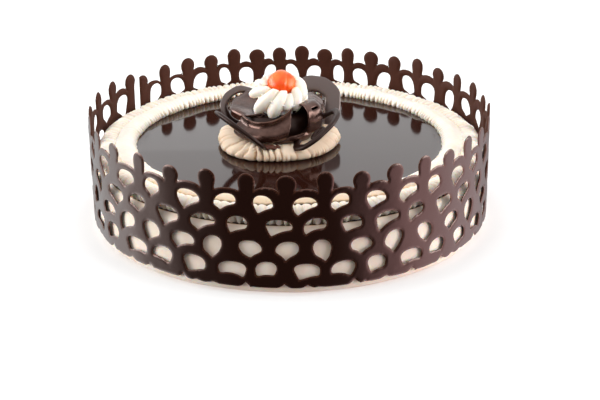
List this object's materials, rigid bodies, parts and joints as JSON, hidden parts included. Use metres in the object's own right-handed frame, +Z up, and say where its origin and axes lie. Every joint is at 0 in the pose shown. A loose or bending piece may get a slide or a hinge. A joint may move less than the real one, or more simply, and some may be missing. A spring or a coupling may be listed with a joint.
{
  "type": "chocolate cream cake",
  "caption": "Round cream cake with a mirror chocolate glaze, a combed cream border, a standing chocolate lattice collar and a cherry-topped centre decoration",
  "frame": {"origin": "middle of the flat underside, on the surface that the cake rests on", "axes": "+Z up, -Y towards the front as pictured, +X to the right seen from the front"},
  "size_m": [0.255, 0.255, 0.0953],
  "materials": {
    "icing_cream": "smooth spread coffee cream",
    "chocolate_glaze": "poured mirror glaze",
    "whipped_cream": "soft piped cream with combed ridges",
    "dark_chocolate": "set dark chocolate with a soft shine",
    "candied_cherry": "wet glossy skin"
  },
  "bodies": {
    "root": {"cake": "icing_cream", "glaze": "chocolate_glaze", "cream_border": "whipped_cream", "collar": "dark_chocolate", "cream_base": "whipped_cream", "chocolate_ruffle": "dark_chocolate", "wing_back_left": "dark_chocolate", "wing_back_right": "dark_chocolate", "wing_front_left": "dark_chocolate", "wing_front_right": "dark_chocolate", "cream_swirl": "whipped_cream", "cherry": "candied_cherry"}
  },
  "joints": []
}
